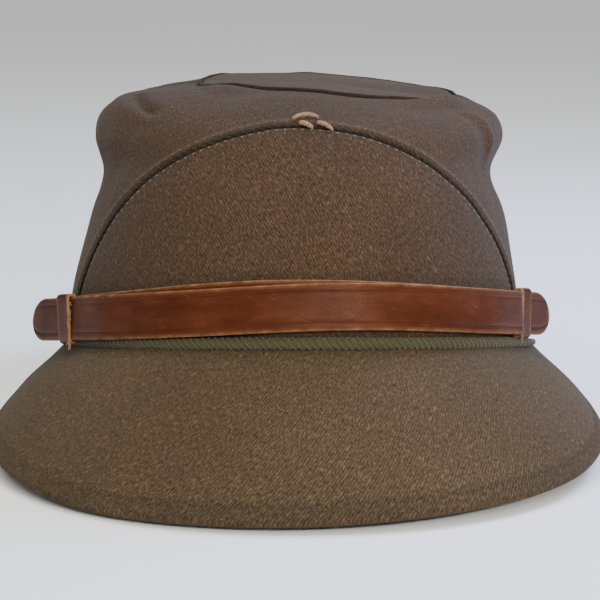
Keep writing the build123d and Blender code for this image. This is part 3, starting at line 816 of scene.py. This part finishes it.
def crescent_stitches():
    """Small pulled stitches along the crescent's edge, with a few fine ones outside the seam."""
    solids = []
    steps = CRESCENT_ARC / STITCH_STEP
    for past, length, girth, lift in ((-1.45, 1.25, 0.30, 0.18), (1.9, 0.9, 0.13, 0.42)):
        for number in range(int(steps) - 1):
            angle = -STITCH_TURN + 2 * STITCH_TURN * number / (steps - 2)
            skew = 0.16 * noise.noise(Vector((number * 1.7, past, 0.5)))
            angles = angle + np.linspace(-0.5, 0.5, 6) * (length / 76.0)
            path = crown_point(*arch_lookup(angles, past, skew=skew), lift)
            if path[:, 2].min() > 2:
                solids.append(strand(path, girth, 6))
    finish_piece(joined("crescent_stitches", solids), "cap", "thread", STITCH)


def badge_strands():
    """Three thick thread ends where a badge was sewn on, each of three plies."""
    # Start, middle and end of each strand (across, up), and its girth
    strands = [
        ((-2.0, 74.2), (2.6, 76.4), (6.8, 74.9), 0.85),
        ((0.4, 72.6), (2.4, 71.9), (4.8, 70.9), 0.95),
        ((6.2, 72.8), (8.6, 72.2), (11.4, 70.2), 0.90),
    ]
    solids = []
    s = np.linspace(0, 1, 16)
    for first, second, third, girth in strands:
        line = np.outer((1 - s) ** 2, first) + np.outer(2 * s * (1 - s), second) + np.outer(s**2, third)
        turn, level = front_lookup(line[:, 0], line[:, 1])
        middle = crown_point(turn, level, 1.25 + 0.5 * np.sin(pi * s))
        for ply in range(3):
            coil = 2.2 * pi * s + 2 * pi * ply / 3
            coil = np.stack([0 * s, np.cos(coil), np.sin(coil)], -1)
            solids.append(strand(middle + coil * 0.36 * girth, 0.62 * girth, 8, 0.3))
    finish_piece(joined("badge_thread_ends", solids), "cap", "thread", THREAD, "badge_threads")


# ---------------------------------------------------------------- visor
def cone_point(turn, share):
    half_width = RIM_HALF_WIDTH + (VISOR_CONE[0] - RIM_HALF_WIDTH) * share
    half_length = RIM_HALF_LENGTH + (VISOR_CONE[1] - RIM_HALF_LENGTH) * share
    forward = VISOR_CONE[2] * share + half_length * np.cos(turn)
    return np.stack([half_width * np.sin(turn), forward, -VISOR_DROP * share + 0 * turn], -1)


def visor_reach(turn):
    """Millimetres that the visor runs down its cone at each turn."""
    angle = np.degrees(np.abs(turn))
    share = VISOR_REACH * (1 - VISOR_TAPER * (angle / VISOR_TAPER_ANGLE) ** VISOR_TAPER_POWER)
    past = np.clip((angle - VISOR_CORNER) / (VISOR_END - VISOR_CORNER), 0, 0.999)
    share = share * np.sqrt(1 - past**2) * (1 - 0.022 * np.sin(turn) * np.abs(np.sin(turn)))
    return share * np.linalg.norm(cone_point(turn, 1.0) - cone_point(turn, 0.0), axis=-1)


def visor_turns(limit, count):
    """Turns over the visor, crowded towards its ends."""
    spread = np.sin(np.linspace(-pi / 2, pi / 2, count) * VISOR_SPREAD)
    return np.radians(limit) * spread / sin(VISOR_SPREAD * pi / 2)


def visor_lift(turn):
    """How far the worn visor bows up towards its ends, sooner at the right one."""
    angle = np.degrees(turn)
    return 2.3 * smooth_step(angle, -8.0, 36.0) + 2.8 * smooth_step(-angle, 26.0, 57.0)


def visor_grid(turn, run, depth):
    """Points of the visor: turn (columns), millimetres down it and depth below its top (rows, columns)."""
    start = cone_point(turn, 0.0)
    down = unit(cone_point(turn, 1.0) - start)
    out = unit(np.cross(down, cone_point(turn + 1e-3, 0.5) - cone_point(turn - 1e-3, 0.5)))
    out *= np.sign(out[..., 2:3])
    points = start + down * run[..., None] - out * (depth + 0 * run)[..., None]
    points[..., 2] += visor_lift(turn) * smooth_step(run, 0.0, 26.0)
    return points


def visor_uv(turn, run):
    return np.stack([np.broadcast_to(turn * VISOR_RADIUS, run.shape), run], -1)


def visor_cloth():
    """Top cloth: over the board, round the edge and a little way under it."""
    turn = visor_turns(86.6, 320)
    reach = visor_reach(turn)
    hem = np.minimum(HEM, HEM_SHARE * reach)
    edge_start = reach - EDGE_RADIUS
    first_run = -0.6                   # the cloth starts inside the crown's seam

    def section(inset):
        """Run and depth of each row, for the face that lies inset under the outer one."""
        girth = EDGE_RADIUS - inset
        rows = [(first_run + (edge_start - first_run) * s, inset) for s in np.linspace(0, 1, 90)]
        for angle in np.linspace(0, pi, 12)[1:]:
            rows.append((edge_start + girth * sin(angle), EDGE_RADIUS - girth * cos(angle)))
        rows += [(edge_start - hem * s, EDGE_RADIUS + girth) for s in np.linspace(0, 1, 10)[1:]]
        return np.array([run for run, _ in rows]), np.array([depth + 0 * reach for _, depth in rows])

    run, depth = section(0.0)
    smooth = visor_grid(turn, run, depth)
    from_edge = reach - run
    uneven = 0.30 * wander(smooth, 26.0, 4.4) + 0.10 * wander(smooth, 7.0, 8.4)
    uneven = uneven - 0.22 * bump(from_edge, EDGE_STITCH, 1.1)
    outer = visor_grid(turn, run, depth - uneven * np.where(depth < EDGE_RADIUS, 1, 0.2))
    inner = visor_grid(turn, *section(VISOR_WALL))
    # Painted shade: darker near the edge and round it, in the pressed line, and where the visor meets the
    # crown.
    shade = 1 - 0.16 * smooth_step(-from_edge, -8.0, -5.0) - 0.10 * bump(from_edge, EDGE_STITCH, 1.2)
    shade = shade - 0.30 * bump(run, 1.0, 2.4)
    uvs = visor_uv(turn, run + np.where(depth > EDGE_RADIUS, 60, 0))
    piece = closed_sheet("visor_top_wool", outer, inner, painted_shade_and_wear_rows(shade), uvs)
    finish_piece(piece, "cap", "visor_wool", VISOR_WOOL, "visor_top_cloth")


def visor_lining():
    """Under cloth, felled to the turned hem of the top cloth."""
    turn = visor_turns(86.4, 260)
    reach = visor_reach(turn)
    first_run = 0.2
    stop = reach - EDGE_RADIUS - np.minimum(HEM, HEM_SHARE * reach) - 0.3
    run = first_run + (stop - first_run) * np.linspace(0, 1, 60)[:, None]
    swell = 0.25 * bump(stop - run, 0.8, 0.9)
    uneven = 0.25 * wander(visor_grid(turn, run, UNDER_DEPTH + 0.05 + swell), 20.0, 5.1)
    outer = visor_grid(turn, run, UNDER_DEPTH + swell + uneven)
    inner = visor_grid(turn, run, UNDER_DEPTH - VISOR_WALL)
    # Painted shade along the lining's edge, where it meets the hem.
    painted_shade_and_wear = painted_shade_and_wear_rows(1 - 0.5 * bump(stop - run, 0, 0.8))
    piece = closed_sheet("visor_under_wool", outer, inner, painted_shade_and_wear, visor_uv(turn, run))
    finish_piece(piece, "cap", "visor_wool", VISOR_WOOL, "visor_under_cloth")


def visor_board():
    """Fibre board between the visor's two cloths."""
    turn = np.radians(82.0) * np.linspace(-1, 1, 200)
    length = np.maximum(visor_reach(turn) - BOARD_MARGIN, 1.4)
    run = BOARD_START + length * np.linspace(0, 1, 40)[:, None]
    outer, inner = (visor_grid(turn, run, depth) for depth in BOARD_DEPTHS)
    painted_shade_and_wear = painted_shade_and_wear_rows(1 + 0 * run)
    piece = closed_sheet("visor_fibre_board", outer, inner, painted_shade_and_wear, visor_uv(turn, run))
    finish_piece(piece, "cap", "visor_board", BOARD, "visor_core")


def visor_welt():
    """Ribbed olive welt along the visor's seam."""
    turn = np.radians(np.linspace(-79, 79, 1900))
    path = np.stack(
        [WELT_HALF_WIDTH * np.sin(turn), WELT_HALF_LENGTH * np.cos(turn), WELT_HEIGHT + 0 * turn], -1)
    normals = np.stack([np.sin(turn), np.cos(turn), 0 * turn], -1)
    angles = section_angles(16)
    rib = np.cos(2 * pi * run_lengths(path)[:, None] / WELT_PITCH + 3 * angles[None, :])
    fall = 1 - 0.55 * smooth_step(np.abs(np.degrees(turn) - 6), 44, 80)
    slack = 1 + 0.08 * wander(path, 11.0, 1.2)
    profile = np.stack([WELT_GIRTH[0] * np.cos(angles), WELT_GIRTH[1] * np.sin(angles)], -1)[None]
    profile = profile * ((1 + 0.16 * rib) * slack[:, None] * fall[:, None])[..., None]
    # Painted shade in the grooves between the ribs, and a painted shadow of the strap over the welt's left
    # end.
    shade = (0.86 + 0.144 * rib) * (1 - 0.6 * smooth_step(-np.degrees(turn), 30, 58))[:, None]
    piece = sweep("visor_welt_braid", path, normals, profile, painted_shade_and_wear_rows(shade))
    finish_piece(piece, "cap", "welt_braid", WELT, "visor_welt")


# ---------------------------------------------------------------- chin strap
def strap_level(across):
    """Height of the strap's middle: a little lower at the left, it rides up right of the middle."""
    share = across / 80.0
    return STRAP_MIDDLE + 0.75 * share - 0.25 * share**2 + 2.5 * bump(across, 18.0, 52.0) - 0.3


def strap_straight(side, offset):
    """Where a straight leaves the crown, its way on, and outward."""
    half_width, half_length = STRAP_HALF_WIDTH + offset, STRAP_HALF_LENGTH + offset
    foot = np.array([side * half_width * sin(STRAP_TURN), half_length * cos(STRAP_TURN), 0])
    way = np.array([side * half_width * cos(STRAP_TURN), -half_length * sin(STRAP_TURN), 0])
    out = np.array([side * sin(STRAP_TURN) / half_width, cos(STRAP_TURN) / half_length, 0])
    return foot, unit(way), unit(out)


def strap_path(offset, left_length, right_length, step=1.2):
    """Middle line and outward normals of one strap, from its left end to its right end."""
    half_width, half_length = STRAP_HALF_WIDTH + offset, STRAP_HALF_LENGTH + offset
    turn = np.linspace(-STRAP_TURN, STRAP_TURN, 150)
    path = np.stack([half_width * np.sin(turn), half_length * np.cos(turn), 0 * turn], -1)
    normals = unit(np.stack([np.sin(turn) / half_width, np.cos(turn) / half_length, 0 * turn], -1))
    for side, length in ((1, right_length), (-1, left_length)):
        run = np.arange(step, length + 1e-6, step)
        if length - run[-1] > 0.2:
            run = np.append(run, length)
        foot, way, out = strap_straight(side, offset)
        straight = foot + run[:, None] * way
        rows = np.repeat(out[None], len(run), 0)
        path = np.concatenate([path, straight] if side == 1 else [straight[::-1], path])
        normals = np.concatenate([normals, rows] if side == 1 else [rows, normals])
    return path, normals


def strap_section():
    """Half thickness at each height across the strap: rounded edges and a creased line near each."""
    heights = np.array(STRAP_FACE + [-h for h in STRAP_FACE[-2::-1]])
    edge = np.clip((STRAP_HALF - np.abs(heights)) / 0.75, 0, 1)
    half = STRAP_LEATHER / 2 * np.sqrt(np.clip(1 - (1 - edge) ** 2, 0.10, 1))
    crease = 0.16 * bump(np.abs(heights), STRAP_CREASE, 0.16)
    front = np.stack([half - crease, heights], -1)
    return np.concatenate([front, np.stack([-half, heights], -1)[::-1]])


def strap_piece(name, node, offset, left_length, right_length, round_left, round_right, lift, seed):
    """One strap; its tab has a rounded end, and lift raises it left of the middle."""
    path, normals = strap_path(offset, left_length, right_length)
    path[:, 2] = strap_level(path[:, 0]) + lift * bump(path[:, 0], -24.0, 44.0)
    normals = normals * cos(STRAP_TILT) + np.array([0, 0, sin(STRAP_TILT)])
    length = run_lengths(path)
    to_end = length[-1] - length
    scale = np.ones(len(path))
    for rounded, distance in ((round_left, length), (round_right, to_end)):
        cut = 1 - (1 - np.minimum(distance / TAB_CORNER, 1)) ** 2.4
        if rounded:
            scale = np.where(distance < TAB_CORNER, np.sqrt(cut), scale)
    section = strap_section()
    profile = section[None] * np.stack([np.ones(len(path)), np.maximum(scale, 0.12)], -1)[:, None]
    along = np.stack([length, 0 * length, 0 * length], -1)
    profile[..., 0] += 0.22 * wander(along + np.array([0, 0, seed]), 17.0, seed)[:, None]
    for spot, dip, width in STRAP_DENTS:
        profile[..., 0] -= dip * bump(path[:, 0:1], spot, width) * bump(profile[..., 1], 0, 6.0)
    edge = STRAP_HALF - np.abs(section[:, 1])
    worn = np.where(edge < 0.5, 1.0, np.where(edge < 0.9, 0.35, 0.0))
    worn = worn[None] * (0.6 + 0.5 * wander(along, 5.0, seed + 3))[:, None]
    tips = np.minimum(length if round_left else length + 9, to_end if round_right else length[-1])
    worn = np.maximum(worn, 0.7 * (tips < 0.7)[:, None])
    across = np.abs(path[:, 0:1])
    # Painted shade: darker along the creased lines, in a band on each tab past its keeper, and towards the
    # tabs, which face away from the light.
    shade = 1 - 0.25 * bump(np.abs(section[:, 1]), 5.1, 0.16)
    shade = shade[None] - 0.28 * bump(across - 90.5, 0, 1.6)
    shade = shade * (1 - 0.15 * smooth_step(across, 66.0, 82.0))
    piece = sweep(name, path, normals, profile, painted_shade_and_wear_rows(shade, np.clip(worn, 0, 1)))
    finish_piece(piece, "chin_strap", "strap_leather", STRAP, node)


def keeper_outline():
    """Rounded oblong round a strap's section, in steps of about 0.6 mm."""
    corners = []
    for cx, cy, first in ((1, 1, 0), (-1, 1, 90), (-1, -1, 180), (1, -1, 270)):
        centre = np.array([cx * (KEEPER_DEEP - KEEPER_CORNER), cy * (KEEPER_TALL - KEEPER_CORNER)])
        for angle in np.radians(np.linspace(first, first + 90, 7)):
            corners.append(centre + KEEPER_CORNER * np.array([cos(angle), sin(angle)]))
    outline = []
    for here, after in zip(corners, corners[1:] + corners[:1]):
        count = max(1, int(np.linalg.norm(after - here) / 0.6))
        outline += [(1 - s) * here + s * after for s in np.arange(0, 1, 1 / count)]
    return np.array(outline)


def keeper(name, node, side, offset, span, slant):
    """Narrow leather loop round one strap's straight, its cut edges worn to raw fibres."""
    foot, way, out = strap_straight(side, offset)
    up = np.array([0, 0, 1.0])
    middle = foot + way * sum(span) / 2
    middle[2] = strap_level(middle[0])
    loop = keeper_outline()
    path = middle + loop[:, 0:1] * out + loop[:, 1:2] * up + slant * loop[:, 1:2] * way
    normals = loop[:, 0:1] / KEEPER_DEEP * out + (loop[:, 1:2] / KEEPER_TALL) ** 5 * up
    width = (span[1] - span[0]) / 2
    across = np.array([-1, -0.95, -0.85, -0.7, -0.4, 0, 0.4, 0.7, 0.85, 0.95, 1]) * width
    inside = np.clip(1 - (width - np.abs(across)) / 0.4, 0, 1)
    thick = KEEPER_HALF_LEATHER * np.sqrt(np.clip(1 - inside**2, 0.2, 1))
    section = np.concatenate([np.stack([thick, across], -1), np.stack([-thick, across], -1)[::-1]])
    profile = section[None] * (1 + 0.08 * wander(path, 2.4, 5.5))[:, None, None]
    ragged = 0.9 + 0.5 * wander(path, 1.6, 7.5)[:, None]
    worn = 1 - smooth_step((width - np.abs(section[:, 1]))[None] / ragged, 0.35, 1.1)
    piece = sweep(name, path, normals, profile, painted_shade_and_wear_rows(0.85 + 0 * worn, worn), closed=True)
    finish_piece(piece, "chin_strap", "strap_leather", STRAP, node)


def keeper_frays(name, side, offset, start, spread, seed):
    """Fibres that stick out along a keeper's front edge, and longer ones below it."""
    count, low_from = 34, 22
    foot, way, out = strap_straight(side, offset)
    base = foot + way * start
    base[2] = strap_level(base[0])
    random = np.random.default_rng(seed).uniform
    s = np.linspace(0, 1, 7)[:, None]
    solids = []
    for number in range(count):
        height = random(-8.4, 8.0) if number < low_from else random(-9.0, -7.4)
        root = base + np.array([0, 0, height]) + out * random(0.9, 1.9)
        lean = -way * random(0.2, 1.0) + out * random(0.1, 0.6)
        lean = lean + np.array([0, 0, random(-0.7, 0.5)])
        reach = random(0.8, 1.8) if number < low_from else random(1.6, spread)
        bend = np.array([0, 0, random(-0.8, 0.3)]) * s**2 * reach
        solids.append(strand(root + lean * reach * s + bend, random(0.10, 0.22), 5, 0.5))
    finish_piece(joined(name, solids), "chin_strap", "thread", THREAD)


# ---------------------------------------------------------------- inside
def inner_ring(name, node, low, high, stand, thickness, material, slot, rows, pleat):
    """Closed ring sheet inside the crown, between two levels, gathered by pleats."""
    columns = 360
    turn = np.linspace(-pi, pi, columns, endpoint=False)[None, :] * np.ones((rows, 1))
    level = np.linspace(low, high, rows)[:, None] * np.ones((1, columns))
    wave = pleat * (0.5 + 0.5 * np.cos(turn * PLEATS + 1.3 * np.sin(turn * 5)))
    wave = wave * smooth_step(level, low, low + 1.5) * (1 - 0.4 * smooth_step(level, high - 1, high))
    loose = 0.5 * wander(np.stack([np.cos(turn) * 90, np.sin(turn) * 90, level * 12], -1), 30.0, 1.9)
    normal = crown_normal(turn, level)
    sag = np.minimum(crown_slack(turn, level), 0.5)
    outer = crown_bare(turn, level) + normal * (stand - wave - 0.3 * loose + sag)[..., None]
    vertices = two_faces(outer, outer - normal * thickness)
    count = rows * columns
    faces = grid_faces(rows, columns, wrap=True) + grid_faces(rows, columns, wrap=True, start=count)
    for base in (0, (rows - 1) * columns):
        for column in range(columns):
            here, after = base + column, base + (column + 1) % columns
            faces.append((here, after, count + after, count + here))
    height = ring_values(level)[..., 0]
    uvs = np.stack([turn * INSIDE_RADIUS, height], -1).reshape(-1, 2)
    # Darker along a line 2.6 mm above the ring's lower edge.
    painted_shade_and_wear = painted_shade_and_wear_rows(1 - 0.35 * bump(height, height.min() + 2.6, 0.35))
    piece = new_piece(name, vertices, faces, np.tile(uvs, (2, 1)), np.tile(painted_shade_and_wear, (2, 1)))
    finish_piece(piece, "cap", slot, material, node)


def top_lining():
    """Oval of lining under the top, gathered to the side lining."""
    turn = np.linspace(-pi, pi, 180, endpoint=False)
    ring = crown_bare(turn, np.full(len(turn), float(TOP_LEVEL)))
    centre = ring.mean(0)
    share = np.linspace(1.0, 0.02, 24)[:, None, None]
    points = centre + (ring[None] - centre) * share * 0.985
    points[..., 2] -= 5.6 + 1.2 * (1 - share[..., 0] ** 2)
    points[..., 2] += 0.9 * wander(points * np.array([1, 1, 0]), 18.0, 7.7)
    painted_shade_and_wear = painted_shade_and_wear_rows(np.ones(points.shape[:2]))
    piece = closed_lid("top_lining_cotton", points, points - np.array([0, 0, 0.6]), painted_shade_and_wear)
    finish_piece(piece, "cap", "lining_cotton", COTTON, "top_lining")


def band_stitches():
    """Stitches that hold the sweatband to the reed and the hem."""
    level = np.full(5, BAND_STITCH_LEVEL)
    solids = []
    for number in range(BAND_STITCHES):
        turn = np.linspace(0, 2.0 / INSIDE_RADIUS, 5) + 2 * pi * number / BAND_STITCHES
        path = crown_bare(turn, level) + crown_normal(turn, level) * BAND_STITCH_STAND
        solids.append(strand(path, 0.26, 6))
    finish_piece(joined("sweatband_stitches", solids), "cap", "thread", STITCH)


def dress_cad_nodes():
    """Materials for the CAD pieces that show as they are."""
    finishes = {
        TAPE: ["back_seam_tape", "visor_tuck"],
        BRASS: ["side_post_left", "side_post_right", "post_washer_left", "post_washer_right"],
        BARE: ["sweatband_reed", "post_socket_left", "post_socket_right"],
        BUCKRAM: ["front_stiffener"],
    }
    for material, nodes in finishes.items():
        for node in nodes:
            materials = frame["nodes"][node].data.materials
            materials.clear()
            materials.append(material)


# ---------------------------------------------------------------- everything in place
front_panel()
crown_front_band()
crown_quarter("left_quarter_cloth", "crown_left_quarter", -1)
crown_quarter("right_quarter_cloth", "crown_right_quarter", 1)
top_seam()
top_panel()
crescent_fold()
crescent_stitches()
badge_strands()
visor_cloth()
visor_lining()
visor_board()
visor_welt()
strap_piece("chin_strap_inner", "chin_strap_rear", REAR_OFFSET, 15.5, 37.8, False, True, 1.9, 11.0)
strap_piece("chin_strap_outer", "chin_strap_front", FRONT_OFFSET, 46.0, 14.5, True, False, 0.0, 23.0)
keeper("keeper_left_loop", "keeper_left", -1, FRONT_OFFSET, LEFT_KEEPER, 0.12)
keeper("keeper_right_loop", "keeper_right", 1, REAR_OFFSET, RIGHT_KEEPER, 0.05)
keeper_frays("keeper_left_frays", -1, FRONT_OFFSET, LEFT_KEEPER[0], 3.4, 5)
keeper_frays("keeper_right_frays", 1, REAR_OFFSET, RIGHT_KEEPER[0], 1.8, 8)
inner_ring("sweatband_leather", "sweatband", 0.14, 3.0, -4.6, 1.2, BAND, "band_leather", 26, 0.0)
inner_ring(
    "side_lining_cotton", "side_lining", 2.7, TOP_LEVEL - 0.1, -4.0, 0.5, COTTON, "lining_cotton", 60, 0.8)
top_lining()
band_stitches()
dress_cad_nodes()


# ---------------------------------------------------------------- table, light, camera
def add_object(name, data):
    made = bpy.data.objects.new(name, data)
    bpy.context.scene.collection.objects.link(made)
    return made


def make_floor():
    bpy.ops.mesh.primitive_plane_add(size=FLOOR_SIZE, location=(0, 0, FLOOR_DROP))
    floor = bpy.context.object
    floor.name = "floor"
    made = Shader("pale_floor", 0.9)
    cloud = made.noise(made.solid_space(), 0.8, 2.0)
    colour = made.ramp(cloud, [(0.3, (0.86, 0.86, 0.86)), (0.7, (0.90, 0.90, 0.90))])
    floor.data.materials.append(made.finish(colour))


def make_light():
    """Soft room light, four area lights and a wide sky."""
    world = bpy.data.worlds.new("studio")
    bpy.context.scene.world = world
    world.use_nodes = True
    world.node_tree.nodes["Background"].inputs[0].default_value = (1.0, 1.0, 1.0, 1)
    world.node_tree.nodes["Background"].inputs[1].default_value = ROOM_LIGHT
    for name, spot, target, size, power, colour in AREA_LIGHTS:
        light = bpy.data.lights.new(name, "AREA")
        light.shape = "DISK"
        light.size = size
        light.energy = power
        light.color = colour
        lamp = add_object(name, light)
        lamp.location = spot
        lamp.rotation_euler = (Vector(target) - Vector(spot)).to_track_quat("-Z", "Y").to_euler()
    sky = bpy.data.lights.new("open_sky", "SUN")
    sky.energy = SKY_POWER
    sky.angle = SKY_ANGLE
    add_object("open_sky", sky).rotation_euler = SKY_TURN


def make_camera():
    """Looks at the rim's middle from just under the rim's plane, square to the visor."""
    elevation = LEAN - radians(CAMERA_BELOW_RIM)
    back = np.array([0.0, -cos(elevation), sin(elevation)])
    camera_data = bpy.data.cameras.new("camera")
    camera_data.sensor_width = SENSOR
    camera_data.lens = SENSOR * FOCAL_SHARE
    camera = add_object("camera", camera_data)
    camera.location = place(CAMERA_TARGET) + back * CAMERA_DISTANCE
    camera.rotation_euler = Vector(-back).to_track_quat("-Z", "Y").to_euler()
    bpy.context.scene.camera = camera


make_floor()
make_light()
make_camera()
